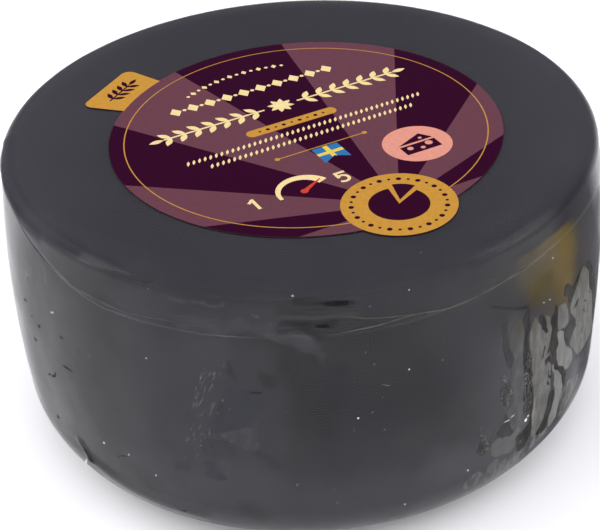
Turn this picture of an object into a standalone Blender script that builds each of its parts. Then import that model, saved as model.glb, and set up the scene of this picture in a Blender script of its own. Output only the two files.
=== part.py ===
"""A wax-coated cheese wheel in clear shrink film, with its die-cut label.

The wheel stands on its flat base at the origin, +Z up, and its front faces -Y.
Sizes are in metres. An azimuth is in degrees, 0 at the front and growing
towards +X.
"""

import math

import bmesh
import bpy

WHEEL_HEIGHT = 0.0884
RIM_RADIUS = 0.0830       # where the rounded corner runs into the side
CORNER_IN = 0.0030        # the corner's round, measured inwards
CORNER_DROP = 0.0043      # and downwards
TOP_FALL_WIDTH = 0.0077   # the outer stretch of the top that falls to the corner
TOP_FALL = 0.0007
BELLY = 0.0016            # how far the side stands out halfway down
FOOT_RADIUS = 0.0839
FOOT_IN = 0.0209          # the round under the side, measured inwards
FOOT_RISE = 0.0190        # and upwards

UPPER_SIDE = 0.0264       # the stretch of the side that holds the film's fold
UPPER_ROWS = 12
LOWER_ROWS = 10
CORNER_ROWS = 6
FALL_ROWS = 4
FOOT_ROWS = 9
COLUMNS = 108
POLE_MERGE = 0.00001

SEAM_DROP = 0.0142        # the film's welded edge, measured down from the top
SEAM_RISE_LEFT = 0.0100   # how much higher it runs round the left shoulder
SEAM_CLIMB_LEFT = (34.0, 76.0)      # degrees left of the front where it climbs
SEAM_FALL_LEFT = (110.0, 170.0)     # and where it comes down again
SEAM_RISE_RIGHT = 0.0026
SEAM_CLIMB_RIGHT = (8.0, 50.0)
SEAM_FALL_RIGHT = (120.0, 170.0)
SEAM_SOFT = 0.0016        # the height over which the doubled film steps out
BAND_PROUD = 0.0004       # the doubled film above the welded edge
BAND_FADE = 0.0030        # it runs out into the top over this height
BASE_CLEAR = 0.0010       # no relief lower than this, so the base stays flat

WAVES = (                 # depth, waves round the wheel, turn in degrees
    (0.00022, 2, 20.0),
    (0.00018, 3, 75.0),
    (0.00012, 7, 10.0),
)
WAVE_TOP = 0.010          # the unevenness dies out this far from top and base
WAVE_FOOT = 0.018

# Each fold of the film follows stations of azimuth and height, with its
# half width and its depth, which is negative where the film dips in.
FOLDS = (
    (((-1.0, 0.0836), (4.0, 0.0832), (8.5, 0.0826)), 0.0026, -0.0008),
    (((-4.0, 0.0784), (2.0, 0.0778), (7.5, 0.0782)), 0.0028, -0.0009),
    (((-3.0, 0.0748), (1.5, 0.0702), (4.4, 0.0648)), 0.0030, -0.0006),
    (((-52.5, 0.0275), (-49.5, 0.0236), (-46.3, 0.0175)), 0.0034, 0.0011),
    (((-46.3, 0.0175), (-40.0, 0.0146), (-33.0, 0.0132), (-22.0, 0.0126)), 0.0034, 0.0007),
    (((74.0, 0.0720), (80.0, 0.0660), (84.0, 0.0560)), 0.0070, 0.0007),
)

LABEL_GAP = 0.0003
LABEL_THICKNESS = 0.0004
LABEL_CENTRE = (0.0022, -0.0061)
LABEL_RADIUS = 0.0544
TAB_RADIUS = 0.0668       # the tab's outer edge, from the label's centre
TAB_START = 140.4         # degrees round the label from +X
TAB_END = 161.4
TAB_CORNER = 0.0026
BADGE_CENTRE = (0.0250, -0.0474)
BADGE_RADIUS = 0.0152
ARC_STEP = 4.0            # degrees between the points of an arc

WAX_COLOUR = (0.050, 0.049, 0.056, 1.0)
PRINT_COLOUR = (0.140, 0.035, 0.060, 1.0)


def clear_scene():
    for item in list(bpy.data.objects):
        bpy.data.objects.remove(item, do_unlink=True)


def principled(name, colour, roughness, metallic=0.0):
    material = bpy.data.materials.new(name)
    material.use_nodes = True
    shader = material.node_tree.nodes["Principled BSDF"]
    shader.inputs["Base Color"].default_value = colour
    shader.inputs["Roughness"].default_value = roughness
    shader.inputs["Metallic"].default_value = metallic
    return material


def bell(distance, half_width):
    """1 at the middle, falling smoothly to 0 at the half width."""
    share = min(abs(distance) / half_width, 1.0)
    return (1.0 - share * share) ** 2


def smooth_step(start, end, value):
    share = min(max((value - start) / (end - start), 0.0), 1.0)
    return share * share * (3.0 - 2.0 * share)


def wheel_profile():
    """The wheel's outline as radius and height, from the top's centre down the side to the base's centre."""
    corner_radius = RIM_RADIUS - CORNER_IN
    fall_start = corner_radius - TOP_FALL_WIDTH
    corner_height = WHEEL_HEIGHT - TOP_FALL
    side_top = corner_height - CORNER_DROP
    points = [(0.0, WHEEL_HEIGHT), (fall_start / 3, WHEEL_HEIGHT), (fall_start * 2 / 3, WHEEL_HEIGHT)]
    for row in range(FALL_ROWS):
        share = row / FALL_ROWS
        points.append((fall_start + TOP_FALL_WIDTH * share, WHEEL_HEIGHT - TOP_FALL * share ** 2))
    for row in range(CORNER_ROWS):
        turn = math.pi / 2 * row / CORNER_ROWS
        radius = corner_radius + CORNER_IN * math.sin(turn)
        points.append((radius, side_top + CORNER_DROP * math.cos(turn)))
    heights = [side_top - UPPER_SIDE * row / UPPER_ROWS for row in range(UPPER_ROWS)]
    lower_top = side_top - UPPER_SIDE
    heights += [lower_top - (lower_top - FOOT_RISE) * row / LOWER_ROWS for row in range(LOWER_ROWS)]
    for height in heights:
        share = (height - FOOT_RISE) / (side_top - FOOT_RISE)
        radius = FOOT_RADIUS + (RIM_RADIUS - FOOT_RADIUS) * share + BELLY * 4 * share * (1 - share)
        points.append((radius, height))
    for row in range(FOOT_ROWS + 1):
        turn = math.pi / 2 * row / FOOT_ROWS
        radius = FOOT_RADIUS - FOOT_IN + FOOT_IN * math.cos(turn)
        points.append((radius, FOOT_RISE - FOOT_RISE * math.sin(turn)))
    base_radius = FOOT_RADIUS - FOOT_IN
    points += [(base_radius / 2, 0.0), (0.0, 0.0)]
    return points


def seam_height(azimuth):
    """The welded edge runs level across the front and climbs towards both sides."""
    left = SEAM_RISE_LEFT * smooth_step(*SEAM_CLIMB_LEFT, -azimuth) * (1 - smooth_step(*SEAM_FALL_LEFT, -azimuth))
    right = SEAM_RISE_RIGHT * smooth_step(*SEAM_CLIMB_RIGHT, azimuth) * (1 - smooth_step(*SEAM_FALL_RIGHT, azimuth))
    return WHEEL_HEIGHT - SEAM_DROP + left + right


def distance_to_fold(azimuth, height, stations):
    """The shortest way over the side from a point to a line of azimuth and height stations."""
    across = math.radians(azimuth) * RIM_RADIUS
    nearest = math.inf
    for (start_azimuth, start_height), (end_azimuth, end_height) in zip(stations, stations[1:]):
        start_across = math.radians(start_azimuth) * RIM_RADIUS
        run = math.radians(end_azimuth) * RIM_RADIUS - start_across
        rise = end_height - start_height
        share = ((across - start_across) * run + (height - start_height) * rise) / (run * run + rise * rise)
        share = min(max(share, 0.0), 1.0)
        away = math.hypot(across - start_across - share * run, height - start_height - share * rise)
        nearest = min(nearest, away)
    return nearest


def relief(azimuth, height):
    """How far the wrapped side stands out from its turned form."""
    lift = 0.0
    for depth, waves, turn in WAVES:
        lift += depth * math.sin(math.radians(waves * (azimuth - turn)))
    lift *= smooth_step(0.0, WAVE_FOOT, height) * smooth_step(0.0, WAVE_TOP, WHEEL_HEIGHT - height)
    edge = seam_height(azimuth)
    rim = WHEEL_HEIGHT - TOP_FALL
    lift += BAND_PROUD * smooth_step(edge, edge + SEAM_SOFT, height) * (1 - smooth_step(rim - BAND_FADE, rim, height))
    for stations, half_width, depth in FOLDS:
        lift += depth * bell(distance_to_fold(azimuth, height, stations), half_width)
    return lift


def make_wheel(collection, material):
    mesh = bpy.data.meshes.new("wheel_profile")
    points = wheel_profile()
    links = [(index, index + 1) for index in range(len(points) - 1)]
    mesh.from_pydata([(radius, 0.0, height) for radius, height in points], links, [])
    turned = bpy.data.objects.new("wheel_profile", mesh)
    collection.objects.link(turned)
    screw = turned.modifiers.new("turn", "SCREW")
    screw.steps = COLUMNS
    screw.render_steps = COLUMNS
    screw.use_merge_vertices = True
    screw.merge_threshold = POLE_MERGE
    screw.use_smooth_shade = True
    evaluated = turned.evaluated_get(bpy.context.evaluated_depsgraph_get())
    skin = bpy.data.meshes.new_from_object(evaluated)
    bpy.data.objects.remove(turned, do_unlink=True)

    form = bmesh.new()
    form.from_mesh(skin)
    bmesh.ops.remove_doubles(form, verts=form.verts, dist=POLE_MERGE)
    form.normal_update()
    moves = []
    for vertex in form.verts:
        azimuth = math.degrees(math.atan2(vertex.co.x, -vertex.co.y))
        on_side = vertex.co.xy.length > RIM_RADIUS - CORNER_IN - TOP_FALL_WIDTH and vertex.co.z > BASE_CLEAR
        moves.append(vertex.normal * relief(azimuth, vertex.co.z) if on_side else None)
    for vertex, move in zip(form.verts, moves):
        if move is not None:
            vertex.co += move
    form.to_mesh(skin)
    form.free()
    skin.name = "wrapped_wheel"
    skin.materials.clear()
    skin.materials.append(material)
    wheel = bpy.data.objects.new("wrapped_wheel", skin)
    collection.objects.link(wheel)
    return wheel


def arc(centre, radius, start, end):
    """Points along an arc, both ends included, with its angles in degrees from +X."""
    steps = max(1, round(abs(end - start) / ARC_STEP))
    turns = [math.radians(start + (end - start) * step / steps) for step in range(steps + 1)]
    return [(centre[0] + radius * math.cos(turn), centre[1] + radius * math.sin(turn)) for turn in turns]


def label_outline():
    """One round sheet with a tab at the upper left and a round badge at the lower right."""
    span = math.dist(LABEL_CENTRE, BADGE_CENTRE)
    towards = math.degrees(math.atan2(BADGE_CENTRE[1] - LABEL_CENTRE[1], BADGE_CENTRE[0] - LABEL_CENTRE[0]))
    along = (span ** 2 + LABEL_RADIUS ** 2 - BADGE_RADIUS ** 2) / (2 * span)
    label_half = math.degrees(math.acos(along / LABEL_RADIUS))
    badge_half = math.degrees(math.acos((along - span) / BADGE_RADIUS))
    corner_centre_radius = TAB_RADIUS - TAB_CORNER
    corner_turn = math.degrees(math.asin(TAB_CORNER / corner_centre_radius))

    outline = arc(LABEL_CENTRE, LABEL_RADIUS, towards + label_half, TAB_START)
    for turn, first in ((TAB_START + corner_turn, TAB_START - 90.0), (TAB_END - corner_turn, TAB_END - corner_turn)):
        corner = (
            LABEL_CENTRE[0] + corner_centre_radius * math.cos(math.radians(turn)),
            LABEL_CENTRE[1] + corner_centre_radius * math.sin(math.radians(turn)),
        )
        outline += arc(corner, TAB_CORNER, first, first + 90.0 + corner_turn)
        if first < TAB_START:
            outline += arc(LABEL_CENTRE, TAB_RADIUS, turn, TAB_END - corner_turn)[1:-1]
    outline += arc(LABEL_CENTRE, LABEL_RADIUS, TAB_END, 360.0 + towards - label_half)
    outline += arc(BADGE_CENTRE, BADGE_RADIUS, towards - badge_half, towards + badge_half)[1:-1]
    return outline


def make_label(collection, material):
    sheet = bpy.data.curves.new("label", "CURVE")
    sheet.dimensions = "2D"
    sheet.fill_mode = "BOTH"
    sheet.extrude = LABEL_THICKNESS / 2
    outline = label_outline()
    spline = sheet.splines.new("POLY")
    spline.points.add(len(outline) - 1)
    for point, (across, along) in zip(spline.points, outline):
        point.co = (across, along, 0.0, 1.0)
    spline.use_cyclic_u = True
    sheet.materials.append(material)
    label = bpy.data.objects.new("label", sheet)
    label.location.z = WHEEL_HEIGHT + LABEL_GAP + LABEL_THICKNESS / 2
    collection.objects.link(label)
    return label


clear_scene()
cheese = bpy.data.collections.new("waxed_cheese_wheel")
bpy.context.scene.collection.children.link(cheese)
make_wheel(cheese, principled("black_wax_under_film", WAX_COLOUR, 0.3))
make_label(cheese, principled("printed_label", PRINT_COLOUR, 0.45))
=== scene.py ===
import math
import random

import bmesh
import bpy
import numpy as np
from mathutils import Matrix, Vector, geometry, noise


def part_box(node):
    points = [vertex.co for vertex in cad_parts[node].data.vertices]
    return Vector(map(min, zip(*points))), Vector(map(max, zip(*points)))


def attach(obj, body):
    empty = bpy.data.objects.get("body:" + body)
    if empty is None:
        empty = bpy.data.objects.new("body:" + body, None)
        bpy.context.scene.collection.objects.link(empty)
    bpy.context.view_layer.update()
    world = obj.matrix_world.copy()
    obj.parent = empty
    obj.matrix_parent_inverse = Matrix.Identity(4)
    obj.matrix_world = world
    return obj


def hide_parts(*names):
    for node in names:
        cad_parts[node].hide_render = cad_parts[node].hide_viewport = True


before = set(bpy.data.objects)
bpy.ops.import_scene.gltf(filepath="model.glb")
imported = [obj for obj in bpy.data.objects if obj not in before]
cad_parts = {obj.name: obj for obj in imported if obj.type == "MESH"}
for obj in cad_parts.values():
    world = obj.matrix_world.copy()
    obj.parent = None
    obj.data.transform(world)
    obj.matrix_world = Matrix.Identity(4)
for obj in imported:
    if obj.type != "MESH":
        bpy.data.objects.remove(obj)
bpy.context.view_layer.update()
wheel_low, wheel_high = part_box("wrapped_wheel")
label_low, label_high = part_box("label")
MM = 0.001

# The camera stands before the wheel and a little above it, about three
# diameters away, and is turned so that the wheel fills the frame.

CAMERA_DISTANCE = 0.510
CAMERA_ELEVATION = math.radians(33.17)
CAMERA_PAN = math.radians(0.17)
CAMERA_TILT = math.radians(-0.39)
CAMERA_ROLL = math.radians(3.26)
CAMERA_LENS = 104.3

WHEEL_HEIGHT = wheel_high.z

camera_data = bpy.data.cameras.new("camera")
camera_data.lens = CAMERA_LENS
camera_data.sensor_width = 36.0
camera = bpy.data.objects.new("camera", camera_data)
bpy.context.collection.objects.link(camera)
aim = Matrix.Rotation(math.pi / 2 - CAMERA_ELEVATION, 4, "X")
aim = aim @ Matrix.Rotation(CAMERA_PAN, 4, "Y") @ Matrix.Rotation(CAMERA_TILT, 4, "X")
aim = aim @ Matrix.Rotation(-CAMERA_ROLL, 4, "Z")
stand = Vector((0.0, -math.cos(CAMERA_ELEVATION), math.sin(CAMERA_ELEVATION))) * CAMERA_DISTANCE
camera.matrix_world = Matrix.Translation(stand + Vector((0.0, 0.0, WHEEL_HEIGHT / 2))) @ aim
bpy.context.scene.camera = camera


# The studio is a pale floor under a pale even sky, with soft boxes at the
# left and at the right. The wax takes most of its grey from them.

FLOOR_HALF = 3.0
FLOOR_COLOUR = (0.93, 0.93, 0.93)
SKY_LOW_BEHIND = (0.54, 0.54, 0.60)
SKY_BEHIND = (1.14, 1.14, 1.20)
SKY_BEFORE = (1.50, 1.50, 1.56)


class Wire:
    """One socket of a shader or geometry tree. Python's operators on it add the matching nodes."""

    def __init__(self, tree, socket=None):
        self.tree = tree
        self.socket = socket

    def add(self, kind, sockets=None, output=0, stops=None, **settings):
        node = self.tree.nodes.new(kind)
        for name, value in settings.items():
            setattr(node, name, value)
        if stops:
            ramp = node.color_ramp
            while len(ramp.elements) < len(stops):
                ramp.elements.new(1.0)
            for element, (place, colour) in zip(ramp.elements, stops):
                element.position = place
                element.color = (*colour, 1.0)
        for name, value in (sockets or {}).items():
            if isinstance(value, Wire):
                self.tree.links.new(value.socket, node.inputs[name])
            else:
                node.inputs[name].default_value = value
        return Wire(self.tree, node.outputs[output])

    def maths(self, operation, *others, **settings):
        sockets = {place: value for place, value in enumerate((self, *others))}
        return self.add("ShaderNodeMath", sockets, operation=operation, **settings)

    def vector(self, operation, other, output=0):
        return self.add("ShaderNodeVectorMath", {0: self, 1: other}, output=output, operation=operation)

    def length(self):
        return self.add("ShaderNodeVectorMath", {0: self}, output="Value", operation="LENGTH")

    def scaled(self, amount):
        return self.add("ShaderNodeVectorMath", {0: self, "Scale": amount}, operation="SCALE")

    def __add__(self, other):
        return self.maths("ADD", other)

    __radd__ = __add__

    def __sub__(self, other):
        return self.maths("SUBTRACT", other)

    def __rsub__(self, other):
        return self.maths("MULTIPLY", -1.0).maths("ADD", other)

    def __mul__(self, other):
        return self.maths("MULTIPLY", other)

    __rmul__ = __mul__

    def __truediv__(self, other):
        return self.maths("DIVIDE", other)

    def __neg__(self):
        return self.maths("MULTIPLY", -1.0)

    def size(self):
        return self.maths("ABSOLUTE")

    def larger(self, other):
        return self.maths("MAXIMUM", other)

    def smaller(self, other):
        return self.maths("MINIMUM", other)

    def step(self, start, end):
        """A smooth rise from 0 at start to 1 at end, or a fall where start is the larger."""
        if start > end:
            return 1 - self.step(end, start)
        sockets = {"Value": self, "From Min": start, "From Max": end}
        return self.add("ShaderNodeMapRange", sockets, interpolation_type="SMOOTHSTEP")

    def split(self):
        node = self.tree.nodes.new("ShaderNodeSeparateXYZ")
        self.tree.links.new(self.socket, node.inputs[0])
        return [Wire(self.tree, socket) for socket in node.outputs]

    def join(self, *parts):
        return self.add("ShaderNodeCombineXYZ", dict(enumerate(parts)))

    def noise(self, scale, detail=2.0, roughness=0.5, distortion=0.0):
        sockets = {"Vector": self, "Scale": scale, "Detail": detail, "Roughness": roughness}
        sockets["Distortion"] = distortion
        return self.add("ShaderNodeTexNoise", sockets)

    def shaken(self, place, scale, amount):
        """This place, pushed about by a noise, so that what is drawn on it gets uneven edges."""
        sockets = {"Vector": place, "Scale": scale, "Detail": 2.0}
        push = self.add("ShaderNodeTexNoise", sockets, output="Color").vector("SUBTRACT", (0.5, 0.5, 0.5))
        return self.vector("ADD", push.scaled(amount))

    def tint(self, first, second):
        """The first colour where this is 0 and the second where it is 1."""
        colours = {"Factor": self}
        for name, colour in (("A", first), ("B", second)):
            colours[name] = colour if isinstance(colour, Wire) else (*colour, 1.0)
        node = self.tree.nodes.new("ShaderNodeMix")
        node.data_type = "RGBA"
        places = {"Factor": node.inputs[0], "A": node.inputs[6], "B": node.inputs[7]}
        for name, value in colours.items():
            if isinstance(value, Wire):
                self.tree.links.new(value.socket, places[name])
            else:
                places[name].default_value = value
        return Wire(self.tree, node.outputs[2])

    def bump(self, distance, strength=1.0):
        return self.add("ShaderNodeBump", {"Height": self, "Distance": distance, "Strength": strength})


def start_material(name):
    """A new material with its shader and a wire that reads the object's own coordinates."""
    material = bpy.data.materials.new(name)
    material.use_nodes = True
    tree = material.node_tree
    place = Wire(tree).add("ShaderNodeTexCoord", output="Object")
    return material, tree.nodes["Principled BSDF"], place


def plug(tree, sockets):
    """Links or sets the named sockets of a shader."""
    for socket, value in sockets:
        if isinstance(value, Wire):
            tree.links.new(value.socket, socket)
        else:
            socket.default_value = value


def finish_piece(piece, slot, *nodes):
    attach(piece, "root")
    if nodes:
        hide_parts(*nodes)


bpy.ops.mesh.primitive_plane_add(size=FLOOR_HALF * 2)
floor = bpy.context.object
floor.name = "floor"
floor_paint, shader, place = start_material("floor_paint")
grain = place.noise(3.0)
plug(floor_paint.node_tree, [
    (shader.inputs["Base Color"], grain.tint(FLOOR_COLOUR, [part * 0.98 for part in FLOOR_COLOUR])),
    (shader.inputs["Roughness"], 0.9),
])
floor.data.materials.append(floor_paint)

sky = bpy.data.worlds.new("sky")
sky.use_nodes = True
background = sky.node_tree.nodes["Background"]
_, depth, rise = Wire(sky.node_tree).add("ShaderNodeTexCoord", output="Generated").split()
behind = rise.step(0.46, 0.66).tint(SKY_LOW_BEHIND, SKY_BEHIND)
plug(sky.node_tree, [(background.inputs["Color"], depth.step(0.8, -0.6).tint(behind, SKY_BEFORE))])
bpy.context.scene.world = sky
bpy.context.scene.view_settings.view_transform = "Standard"

SOFT_BOXES = (            # place, width, height and power in watts
    ("left_box", (-1.10, 0.25, 0.60), 1.2, 0.9, 9.0),
    ("right_box", (1.10, -0.05, 0.60), 0.8, 0.9, 4.0),
)
for name, at, width, height, power in SOFT_BOXES:
    light = bpy.data.lights.new(name, "AREA")
    light.shape = "RECTANGLE"
    light.size = width
    light.size_y = height
    light.energy = power
    box = bpy.data.objects.new(name, light)
    box.location = at
    box.rotation_euler = (-Vector(at)).to_track_quat("-Z", "Y").to_euler()
    bpy.context.collection.objects.link(box)


# The cheese is a pressed drum with a flat top and base, dipped in near-black
# wax. It is thin on the right shoulder, where the ochre cheese shows through.

RIM_RADIUS = 83.0 * MM    # where the rounded corner runs into the side
CORNER_IN = 3.0 * MM
CORNER_DROP = 4.3 * MM
TOP_FALL_WIDTH = 7.7 * MM
TOP_FALL = 0.7 * MM
BELLY = 1.6 * MM
FOOT_RADIUS = 83.9 * MM
FOOT_IN = 20.9 * MM
FOOT_RISE = 19.0 * MM
TOP_ROWS = 12
FALL_ROWS = 14
CORNER_ROWS = 12
SIDE_ROWS = 128
FOOT_ROWS = 30
BASE_ROWS = 6
COLUMNS = 440
WAX_UNDER_FILM = 0.32 * MM

SEAM_DROP = 14.2 * MM     # the film's welded edge, measured down from the top
SEAM_RISE_LEFT = 10.0 * MM
SEAM_CLIMB_LEFT = (34.0, 76.0)
SEAM_FALL_LEFT = (110.0, 170.0)
SEAM_RISE_RIGHT = 2.6 * MM
SEAM_CLIMB_RIGHT = (8.0, 50.0)
SEAM_FALL_RIGHT = (120.0, 170.0)
SEAM_SOFT = 0.7 * MM
BAND_PROUD = 0.4 * MM
BAND_FADE = 3.0 * MM
BASE_CLEAR = 1.0 * MM
WAVES = ((0.22 * MM, 2, 20.0), (0.18 * MM, 3, 75.0), (0.12 * MM, 7, 10.0))
WAVE_TOP = 10.0 * MM
WAVE_FOOT = 18.0 * MM
FOLDS = (                 # stations of azimuth and millimetres up, half width and depth
    (((-1.0, 83.6), (4.0, 83.2), (8.5, 82.6)), 2.6, -0.8),
    (((-4.0, 78.4), (2.0, 77.8), (7.5, 78.2)), 2.8, -0.9),
    (((-3.0, 74.8), (1.5, 70.2), (4.4, 64.8)), 3.0, -0.6),
    (((-50.2, 21.6), (-48.8, 19.6), (-47.2, 17.4)), 1.8, 0.5),
    (((-47.2, 17.4), (-40.0, 14.6), (-33.0, 13.2), (-22.0, 12.6)), 3.4, 0.4),
    (((74.0, 72.0), (80.0, 66.0), (84.0, 56.0)), 7.0, 0.52),
)


def smooth_step(start, end, value):
    share = np.clip((value - start) / (end - start), 0.0, 1.0)
    return share * share * (3.0 - 2.0 * share)


def outline_rows():
    """The wheel's outline as radius and height, from the top's centre down to the base's centre."""
    corner_radius = RIM_RADIUS - CORNER_IN
    fall_start = corner_radius - TOP_FALL_WIDTH
    side_top = WHEEL_HEIGHT - TOP_FALL - CORNER_DROP
    rows = [(fall_start * row / TOP_ROWS, WHEEL_HEIGHT) for row in range(TOP_ROWS)]
    for row in range(FALL_ROWS):
        share = row / FALL_ROWS
        rows.append((fall_start + TOP_FALL_WIDTH * share, WHEEL_HEIGHT - TOP_FALL * share ** 2))
    for row in range(CORNER_ROWS):
        turn = math.pi / 2 * row / CORNER_ROWS
        rows.append((corner_radius + CORNER_IN * math.sin(turn), side_top + CORNER_DROP * math.cos(turn)))
    for row in range(SIDE_ROWS):
        share = 1 - row / SIDE_ROWS
        radius = FOOT_RADIUS + (RIM_RADIUS - FOOT_RADIUS) * share + BELLY * 4 * share * (1 - share)
        rows.append((radius, FOOT_RISE + (side_top - FOOT_RISE) * share))
    for row in range(FOOT_ROWS):
        turn = math.pi / 2 * row / FOOT_ROWS
        radius = FOOT_RADIUS - FOOT_IN + FOOT_IN * math.cos(turn)
        rows.append((radius, FOOT_RISE - FOOT_RISE * math.sin(turn)))
    base_radius = FOOT_RADIUS - FOOT_IN
    rows += [(base_radius * (1 - row / BASE_ROWS), 0.0) for row in range(BASE_ROWS + 1)]
    return rows


SIDE_OUTLINE = np.array(outline_rows()[TOP_ROWS + FALL_ROWS:-BASE_ROWS])[::-1]


def seam_height(azimuth):
    """The welded edge runs level across the front and climbs towards both sides."""
    left = SEAM_RISE_LEFT * smooth_step(*SEAM_CLIMB_LEFT, -azimuth) * (1 - smooth_step(*SEAM_FALL_LEFT, -azimuth))
    right = SEAM_RISE_RIGHT * smooth_step(*SEAM_CLIMB_RIGHT, azimuth) * (1 - smooth_step(*SEAM_FALL_RIGHT, azimuth))
    return WHEEL_HEIGHT - SEAM_DROP + left + right


def distance_to_fold(azimuth, height, stations):
    across = np.radians(azimuth) * RIM_RADIUS
    nearest = np.full_like(across, np.inf)
    for (start_azimuth, start_up), (end_azimuth, end_up) in zip(stations, stations[1:]):
        start_across = math.radians(start_azimuth) * RIM_RADIUS
        run = math.radians(end_azimuth) * RIM_RADIUS - start_across
        rise = (end_up - start_up) * MM
        along = (across - start_across) * run + (height - start_up * MM) * rise
        share = np.clip(along / (run * run + rise * rise), 0.0, 1.0)
        away = np.hypot(across - start_across - share * run, height - start_up * MM - share * rise)
        nearest = np.minimum(nearest, away)
    return nearest


def relief(azimuth, height):
    """How far the wrapped side stands out from its turned form."""
    lift = sum(depth * np.sin(np.radians(waves * (azimuth - turn))) for depth, waves, turn in WAVES)
    lift = lift * smooth_step(0.0, WAVE_FOOT, height) * smooth_step(0.0, WAVE_TOP, WHEEL_HEIGHT - height)
    edge = seam_height(azimuth)
    rim = WHEEL_HEIGHT - TOP_FALL
    lift += BAND_PROUD * smooth_step(edge, edge + SEAM_SOFT, height) * (1 - smooth_step(rim - BAND_FADE, rim, height))
    for stations, half_width, depth in FOLDS:
        share = np.minimum(distance_to_fold(azimuth, height, stations) / (half_width * MM), 1.0)
        lift += depth * MM * (1 - share * share) ** 2
    return lift


def on_side(azimuth, up, inset):
    """Where spots of the side lie, given by azimuth in degrees, millimetres up and the inset."""
    azimuth, height = np.asarray(azimuth, float), np.asarray(up, float) * MM
    heights, radii = SIDE_OUTLINE[:, 1], SIDE_OUTLINE[:, 0]
    radius = np.interp(height, heights, radii) + relief(azimuth, height) - inset
    turn = np.radians(azimuth)
    return np.column_stack((radius * np.sin(turn), -radius * np.cos(turn), height))


def turning_tree(material):
    """Turns the outline held in the object's points into a closed skin."""
    tree = bpy.data.node_groups.new("turn_outline", "GeometryNodeTree")
    tree.interface.new_socket("Outline", in_out="INPUT", socket_type="NodeSocketGeometry")
    tree.interface.new_socket("Columns", in_out="INPUT", socket_type="NodeSocketInt")
    tree.interface.new_socket("Rows", in_out="INPUT", socket_type="NodeSocketInt")
    tree.interface.new_socket("Skin", in_out="OUTPUT", socket_type="NodeSocketGeometry")
    start = tree.nodes.new("NodeGroupInput")
    outline, columns, rows = (Wire(tree, socket) for socket in start.outputs[:3])
    grid = outline.add("GeometryNodeMeshGrid", {"Vertices X": columns, "Vertices Y": rows})
    spot = outline.add("GeometryNodeInputPosition")
    across, down, _ = spot.split()
    turn = (across + 0.5) * math.tau
    row = ((0.5 - down) * (rows - 1)).maths("ROUND")
    sample = {"Geometry": outline, "Value": spot, "Index": row}
    radius, _, height = outline.add("GeometryNodeSampleIndex", sample, data_type="FLOAT_VECTOR").split()
    turned = spot.join(radius * turn.maths("SINE"), -(radius * turn.maths("COSINE")), height)
    skin = grid.add("GeometryNodeSetPosition", {"Geometry": grid, "Position": turned})
    skin = skin.add("GeometryNodeMergeByDistance", {"Geometry": skin, "Distance": 0.001 * MM})
    skin = skin.add("GeometryNodeSetShadeSmooth", {"Geometry": skin})
    skin = skin.add("GeometryNodeRealizeInstances", {"Geometry": skin})
    skin = skin.add("GeometryNodeSetMaterial", {"Geometry": skin, "Material": material})
    end = tree.nodes.new("NodeGroupOutput")
    tree.links.new(skin.socket, end.inputs["Skin"])
    return tree


def run_tree(piece, tree, values):
    """Puts the tree on the piece with its named inputs set, and returns the result as a plain piece."""
    name = piece.name
    modifier = piece.modifiers.new(tree.name, "NODES")
    modifier.node_group = tree
    for item in tree.interface.items_tree:
        if item.in_out == "INPUT" and item.name in values:
            modifier[item.identifier] = values[item.name]
    evaluated = piece.evaluated_get(bpy.context.evaluated_depsgraph_get())
    mesh = bpy.data.meshes.new_from_object(evaluated)
    bpy.data.objects.remove(piece, do_unlink=True)
    made = bpy.data.objects.new(name, mesh)
    mesh.name = name
    bpy.context.collection.objects.link(made)
    return made


def make_skin(name, material, inset):
    """The wheel's whole outer skin with its folds, standing back from the full size by the inset."""
    rows = outline_rows()
    points = bpy.data.meshes.new(name)
    points.from_pydata([(radius, 0.0, height) for radius, height in rows], [], [])
    seed = bpy.data.objects.new(name, points)
    bpy.context.collection.objects.link(seed)
    skin = run_tree(seed, turning_tree(material), {"Columns": COLUMNS + 1, "Rows": len(rows)})
    mesh = skin.data
    count = len(mesh.vertices)
    spots = np.empty(count * 3)
    mesh.vertices.foreach_get("co", spots)
    spots = spots.reshape(-1, 3)
    normals = np.empty(count * 3)
    mesh.vertex_normals.foreach_get("vector", normals)
    normals = normals.reshape(-1, 3)
    azimuth = np.degrees(np.arctan2(spots[:, 0], -spots[:, 1]))
    radius = np.hypot(spots[:, 0], spots[:, 1])
    on_side = (radius > RIM_RADIUS - CORNER_IN - TOP_FALL_WIDTH) & (spots[:, 2] > BASE_CLEAR)
    lift = np.where(on_side, relief(azimuth, spots[:, 2]), 0.0) - inset
    spots += normals * lift[:, None]
    mesh.vertices.foreach_set("co", spots.ravel())
    mesh.update()
    return skin


NEAR_BLACK = (0.0098, 0.0090, 0.0128)
WORN_BLACK = (0.0130, 0.0122, 0.0165)
GREY_BLOOM_AND_SHEEN = (0.060, 0.058, 0.068)
BROWN_BLOOM = (0.030, 0.025, 0.020)
OCHRE = (0.093, 0.061, 0.010)
OLIVE = (0.040, 0.034, 0.010)
SUCKED_BLACK = (0.0046, 0.0044, 0.0050)

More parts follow.
